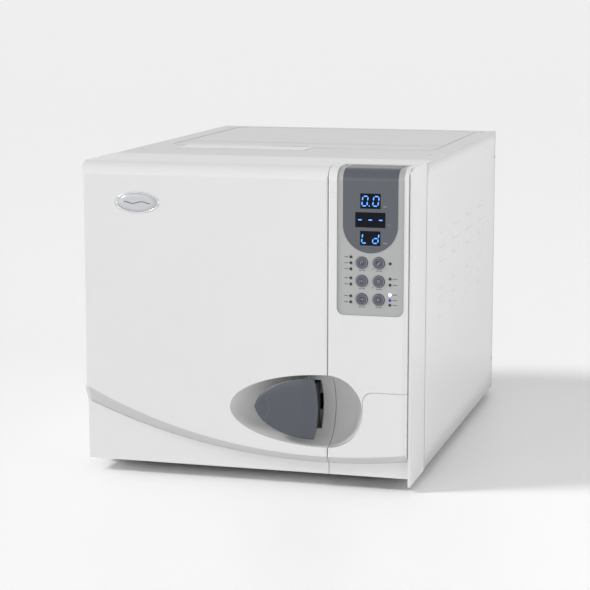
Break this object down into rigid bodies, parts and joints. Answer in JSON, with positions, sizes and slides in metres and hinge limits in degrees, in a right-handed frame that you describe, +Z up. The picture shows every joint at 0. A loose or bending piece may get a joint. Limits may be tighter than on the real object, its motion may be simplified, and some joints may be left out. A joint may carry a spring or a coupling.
{
  "type": "benchtop autoclave",
  "caption": "Benchtop steam autoclave: white cabinet with side-hinged front door, scooped lever handle, control column with displays and keys, service flap, trays and steam plant inside.",
  "frame": {"origin": "on the bench, under the middle of the machine", "axes": "+X to the right, +Y to the back, +Z up; the door faces -Y"},
  "size_m": [0.474, 0.717, 0.445],
  "materials": {
    "housing_white": "satin moulded ABS",
    "sheet_white": "fine powder coat",
    "liner_grey": "matte",
    "slate_handle": "satin",
    "dark_plastic": "matte",
    "keypad_film": "satin film",
    "slate_film": "satin film",
    "display_black": "smoked window",
    "led_blue": "clear lens",
    "badge_grey": "satin",
    "button_grey": "satin",
    "board_green": "solder mask",
    "zinc_steel": "zinc plated",
    "stainless": "electropolished",
    "heater_mica": "mica heater band",
    "insulation": "glass wool",
    "seal_silicone": "silicone",
    "rubber_black": "moulded",
    "pump_dark": "enamel",
    "brass": "machined",
    "copper": "drawn copper tube",
    "aluminium": "fins",
    "tank_plastic": "polyethylene",
    "filter_white": "moulded",
    "knob_blue": "moulded",
    "knob_grey": "moulded"
  },
  "bodies": {
    "cabinet": {"air_filter": "filter_white", "band_heaters": "heater_mica", "base_tray": "zinc_steel", "chamber_vessel": "stainless", "condenser": "aluminium", "control_board": "board_green", "control_fascia": "housing_white", "cover_screws": "stainless", "display_band": "slate_film", "display_windows": "display_black", "door_lock_unit": "dark_plastic", "fan_housing": "dark_plastic", "feet": "rubber_black", "front_bezel": "housing_white", "front_frame": "zinc_steel", "hinge_brackets": "zinc_steel", "hinge_pins": "stainless", "hose_ports": "brass", "inner_brackets": "zinc_steel", "insulation_jacket": "insulation", "keypad_overlay": "keypad_film", "latch_keeper": "stainless", "mains_inlet": "dark_plastic", "pipework": "copper", "power_board": "board_green", "rear_panel": "sheet_white", "service_panel": "liner_grey", "side_panel_left": "sheet_white", "side_panel_right": "sheet_white", "status_leds": "led_blue", "steam_generator": "stainless", "top_cover": "sheet_white", "tray_rack": "stainless", "trays": "stainless", "vacuum_pump": "pump_dark", "valve_manifold": "brass", "water_pump": "pump_dark", "water_tank": "tank_plastic"},
    "door": {"door_cover": "housing_white", "door_badge": "badge_grey", "door_liner": "liner_grey", "door_bridge": "zinc_steel", "door_plate": "stainless", "door_seal": "seal_silicone"},
    "handle": {"door_handle": "slate_handle", "handle_rocker": "dark_plastic", "handle_shaft": "stainless"},
    "service_flap": {"service_flap": "housing_white"},
    "tank_lid": {"tank_lid": "housing_white"},
    "power_rocker": {"power_rocker": "dark_plastic"},
    "drain_knob_clean": {"drain_knob_clean": "knob_blue"},
    "drain_knob_waste": {"drain_knob_waste": "knob_grey"},
    "fan_rotor": {"fan_rotor": "dark_plastic"},
    "lock_plunger": {"lock_plunger": "stainless"},
    "button_select": {"button_select": "button_grey"},
    "button_pack_plus": {"button_pack_plus": "button_grey"},
    "button_program": {"button_program": "button_grey"},
    "button_dry_minus": {"button_dry_minus": "button_grey"},
    "button_test": {"button_test": "button_grey"},
    "button_start": {"button_start": "button_grey"}
  },
  "joints": [
    {"name": "door_hinge", "type": "hinge", "parent": "cabinet", "child": "door", "pos_m": [-0.223, -0.3085, 0.24], "axis": [0, 0, -1], "range_deg": [0, 105]},
    {"name": "handle_pivot", "type": "hinge", "parent": "door", "child": "handle", "pos_m": [0.084, -0.325, 0.11], "axis": [0, 0, 1], "range_deg": [0, 40]},
    {"name": "flap_hinge", "type": "hinge", "parent": "cabinet", "child": "service_flap", "pos_m": [0.1757, -0.3385, 0.027], "axis": [1, 0, 0], "range_deg": [0, 85]},
    {"name": "tank_lid_hinge", "type": "hinge", "parent": "cabinet", "child": "tank_lid", "pos_m": [-0.077, -0.05, 0.4445], "axis": [-1, 0, 0], "range_deg": [0, 100]},
    {"name": "power_rocker_pivot", "type": "hinge", "parent": "cabinet", "child": "power_rocker", "pos_m": [0.204, -0.304, 0.05], "axis": [1, 0, 0], "range_deg": [0, 20]},
    {"name": "drain_clean_turn", "type": "hinge", "parent": "cabinet", "child": "drain_knob_clean", "pos_m": [0.14, -0.318, 0.042], "axis": [0, 1, 0], "range_deg": [0, 90]},
    {"name": "drain_waste_turn", "type": "hinge", "parent": "cabinet", "child": "drain_knob_waste", "pos_m": [0.166, -0.318, 0.042], "axis": [0, 1, 0], "range_deg": [0, 90]},
    {"name": "fan_spin", "type": "hinge", "parent": "cabinet", "child": "fan_rotor", "pos_m": [0.15, 0.313, 0.27], "axis": [0, 1, 0], "continuous": true},
    {"name": "lock_plunger_slide", "type": "slide", "parent": "cabinet", "child": "lock_plunger", "axis": [0, 0, -1], "range_m": [0, 0.008], "stiffness_N_per_m": 60, "springref_m": -0.003},
    {"name": "button_select_press", "type": "slide", "parent": "cabinet", "child": "button_select", "axis": [0, 1, 0], "range_m": [0, 0.0008], "stiffness_N_per_m": 400},
    {"name": "button_pack_plus_press", "type": "slide", "parent": "cabinet", "child": "button_pack_plus", "axis": [0, 1, 0], "range_m": [0, 0.0008], "stiffness_N_per_m": 400},
    {"name": "button_program_press", "type": "slide", "parent": "cabinet", "child": "button_program", "axis": [0, 1, 0], "range_m": [0, 0.0008], "stiffness_N_per_m": 400},
    {"name": "button_dry_minus_press", "type": "slide", "parent": "cabinet", "child": "button_dry_minus", "axis": [0, 1, 0], "range_m": [0, 0.0008], "stiffness_N_per_m": 400},
    {"name": "button_test_press", "type": "slide", "parent": "cabinet", "child": "button_test", "axis": [0, 1, 0], "range_m": [0, 0.0008], "stiffness_N_per_m": 400},
    {"name": "button_start_press", "type": "slide", "parent": "cabinet", "child": "button_start", "axis": [0, 1, 0], "range_m": [0, 0.0008], "stiffness_N_per_m": 400}
  ]
}
